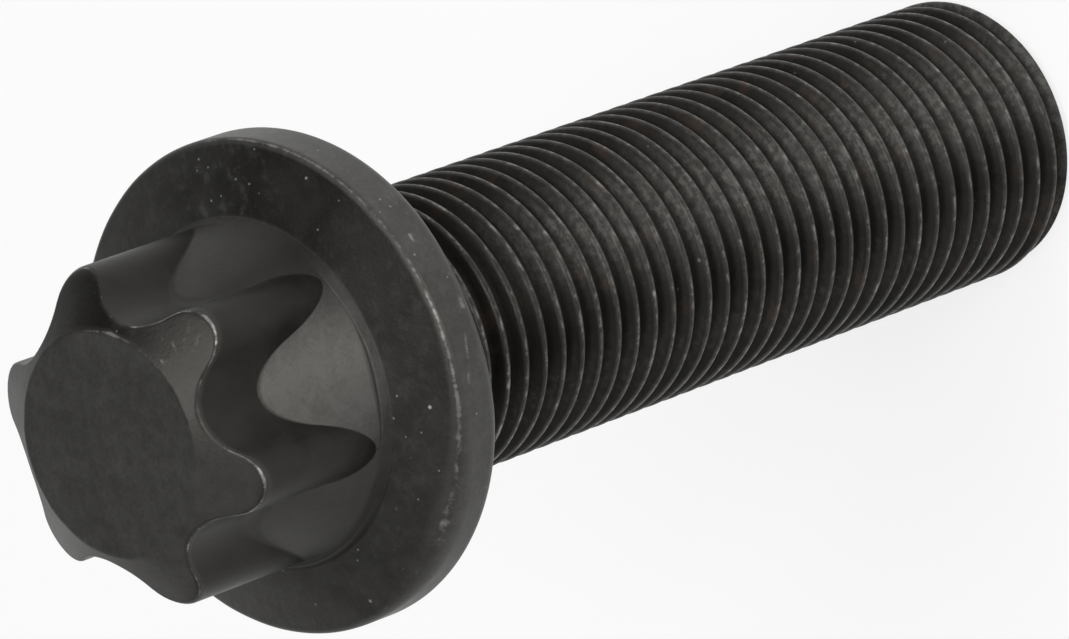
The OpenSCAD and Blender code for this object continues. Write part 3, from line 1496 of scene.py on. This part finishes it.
@dataclass(frozen=True)
class PhotoCamera:
    """The camera at the photograph's angle: a long lens that looks down on the head, rolled onto its side.

    Attributes:
        target: Point that it looks at, in millimetres.
        distance: Distance to that point in millimetres.
        heading: Heading of the view, clockwise from +Y.
        dip: Angle of the view below the horizon.
        roll: How far the top of the frame is turned to the right.
        lens: Focal length in millimetres.
        sensor: Width of the sensor in millimetres.
        clip: Nearest and farthest distances that it sees, in metres.
    """

    target: Point = (-1.409, -0.060, 37.690)
    distance: float = 526.47
    heading: float = math.radians(-2.412)
    dip: float = math.radians(45.803)
    roll: float = math.radians(110.016)
    lens: float = 329.8
    sensor: float = 36.0
    clip: tuple[float, float] = (0.01, 50.0)

    def place(self) -> bpy.types.Object:
        """Makes the camera and sets it as the scene's.

        Returns:
            The camera's object.
        """
        forward = direction(self.heading, -self.dip)
        level_right = Vector((math.cos(self.heading), -math.sin(self.heading), 0.0))
        level_up = level_right.cross(forward)
        up = level_up * math.cos(self.roll) + level_right * math.sin(self.roll)
        right = forward.cross(up)
        data = bpy.data.cameras.new("photo_camera")
        data.lens = self.lens
        data.sensor_width = self.sensor
        data.clip_start, data.clip_end = self.clip
        camera = bpy.data.objects.new("photo_camera", data)
        turn = Matrix((right, up, -forward)).transposed().to_4x4()
        place = (Vector(self.target) - forward * self.distance) * MM
        camera.matrix_world = Matrix.Translation(place) @ turn
        bpy.context.scene.collection.objects.link(camera)
        bpy.context.scene.camera = camera
        return camera


@dataclass(frozen=True)
class SoftBox:
    """A square soft lamp that faces the screw.

    Attributes:
        name: Name of the lamp.
        heading: Direction to it from the screw, clockwise from +Y.
        lift: Its angle above the horizon.
        distance: Distance to it in metres.
        side: Length of its side in metres.
        brightness: Brightness of its face, where 1 is white.
    """

    name: str
    heading: float
    lift: float
    distance: float
    side: float
    brightness: float

    def place(self, target: Vector) -> bpy.types.Object:
        """Makes the lamp and turns it to the target.

        Args:
            target: Point that it faces, in metres.

        Returns:
            The lamp's object.
        """
        towards = direction(self.heading, self.lift)
        data = bpy.data.lights.new(self.name, "AREA")
        data.shape = "SQUARE"
        data.size = self.side
        data.energy = self.brightness * math.pi * self.side**2
        lamp = bpy.data.objects.new(self.name, data)
        turn = towards.to_track_quat("Z", "Y").to_matrix().to_4x4()
        lamp.matrix_world = Matrix.Translation(target + towards * self.distance) @ turn
        lamp.visible_camera = False
        bpy.context.scene.collection.objects.link(lamp)
        return lamp


@dataclass
class Studio:
    """White floor, white surroundings and soft lamps, in metres.

    Attributes:
        floor_side: Length of the floor's side.
        floor_white: How pale the floor is.
        floor_glow: Share of plain white in what the camera and reflections see of the floor.
        wall_level: Brightness of the walls.
        ceiling_level: Brightness of the ceiling.
        wall_top: Angle above the horizon where the walls start to darken.
        ceiling_edge: Angle above the horizon where the ceiling starts.
        target: Point that the lamps face.
        lamps: The lamps.
    """

    floor_side: float = 8.0
    floor_white: float = 0.93
    floor_glow: float = 0.8
    wall_level: float = 0.9
    ceiling_level: float = 0.06
    wall_top: float = math.radians(3.0)
    ceiling_edge: float = math.radians(22.0)
    target: Point = (0.0, 0.0, 0.045)
    lamps: tuple[SoftBox, ...] = (
        SoftBox("front_soft_box", math.radians(172.0), math.radians(15.0), 1.6, 0.8, 7.0),
        SoftBox("high_soft_box", math.radians(140.0), math.radians(70.0), 1.6, 1.0, 6.0),
        SoftBox("far_soft_box", math.radians(270.0), math.radians(50.0), 1.6, 0.8, 1.4),
        SoftBox("back_soft_box", math.radians(345.0), math.radians(17.0), 1.6, 0.8, 0.8),
    )

    def floor(self) -> bpy.types.Object:
        """A wide square of white floor, as a grid of four corners.

        Returns:
            The floor's object.
        """
        half = 0.5 * self.floor_side
        across, along = np.meshgrid([-half, half], [-half, half])
        points = np.stack([across, along, np.zeros((2, 2))], axis=-1).reshape(-1, 3)
        mesh = bpy.data.meshes.new("floor")
        mesh.from_pydata(points.tolist(), [], [(0, 1, 3, 2)])
        mesh.materials.append(self.floor_finish())
        floor = bpy.data.objects.new("floor", mesh)
        bpy.context.scene.collection.objects.link(floor)
        return floor

    def floor_finish(self) -> bpy.types.Material:
        """A white floor that takes shadows, and shows mostly plain white to the camera and in reflections.

        Returns:
            The floor's material.
        """
        sheet = NodeSheet("white_floor")
        diffuse = sheet.node("ShaderNodeBsdfDiffuse")
        sheet.put(diffuse.inputs["Color"], (self.floor_white,) * 3)
        white = sheet.node("ShaderNodeEmission")
        path = sheet.node("ShaderNodeLightPath").outputs
        seen = sheet.greatest(path["Is Camera Ray"], path["Is Glossy Ray"])
        seen = sheet.greatest(seen, path["Is Transmission Ray"])
        shader = sheet.node("ShaderNodeMixShader")
        sheet.put(shader.inputs[0], sheet.times(seen, self.floor_glow))
        sheet.put(shader.inputs[1], diffuse.outputs[0])
        sheet.put(shader.inputs[2], white.outputs[0])
        return sheet.finish(shader.outputs[0])

    def surroundings(self) -> bpy.types.World:
        """Pale walls round the horizon under a darker ceiling.

        The brightness eases from the walls' to the ceiling's as the direction climbs between two heights.

        Returns:
            The world.
        """
        world = bpy.data.worlds.new("surroundings")
        world.use_nodes = True
        tree = world.node_tree
        tree.nodes.clear()
        seen = tree.nodes.new("ShaderNodeTexCoord")
        split = tree.nodes.new("ShaderNodeSeparateXYZ")
        tree.links.new(seen.outputs["Generated"], split.inputs[0])
        level = tree.nodes.new("ShaderNodeMapRange")
        level.interpolation_type = "SMOOTHSTEP"
        level.inputs["From Min"].default_value = math.sin(self.wall_top)
        level.inputs["From Max"].default_value = math.sin(self.ceiling_edge)
        level.inputs["To Min"].default_value = self.wall_level
        level.inputs["To Max"].default_value = self.ceiling_level
        tree.links.new(split.outputs["Z"], level.inputs["Value"])
        background = tree.nodes.new("ShaderNodeBackground")
        background.inputs["Color"].default_value = (1.0, 1.0, 1.0, 1.0)
        tree.links.new(level.outputs[0], background.inputs["Strength"])
        output = tree.nodes.new("ShaderNodeOutputWorld")
        tree.links.new(background.outputs[0], output.inputs["Surface"])
        bpy.context.scene.world = world
        return world

    def build(self) -> None:
        """Makes the floor, the surroundings and the lamps, and sets plain colours."""
        self.floor()
        self.surroundings()
        for lamp in self.lamps:
            lamp.place(Vector(self.target))
        bpy.context.scene.view_settings.view_transform = "Standard"


def main() -> None:
    """Builds the camera, the studio and the screw, and reports the piece."""
    logging.basicConfig(level=logging.INFO, format="%(name)s: %(message)s")
    PhotoCamera().place()
    Studio().build()
    screw = FlangeScrew.from_frame("screw")
    piece = screw.build()
    screw.dress(piece, "screw")
    LOG.info("%s has %d points and %d faces", piece.name, len(piece.data.vertices), len(piece.data.polygons))


if __name__ == "__main__":
    main()
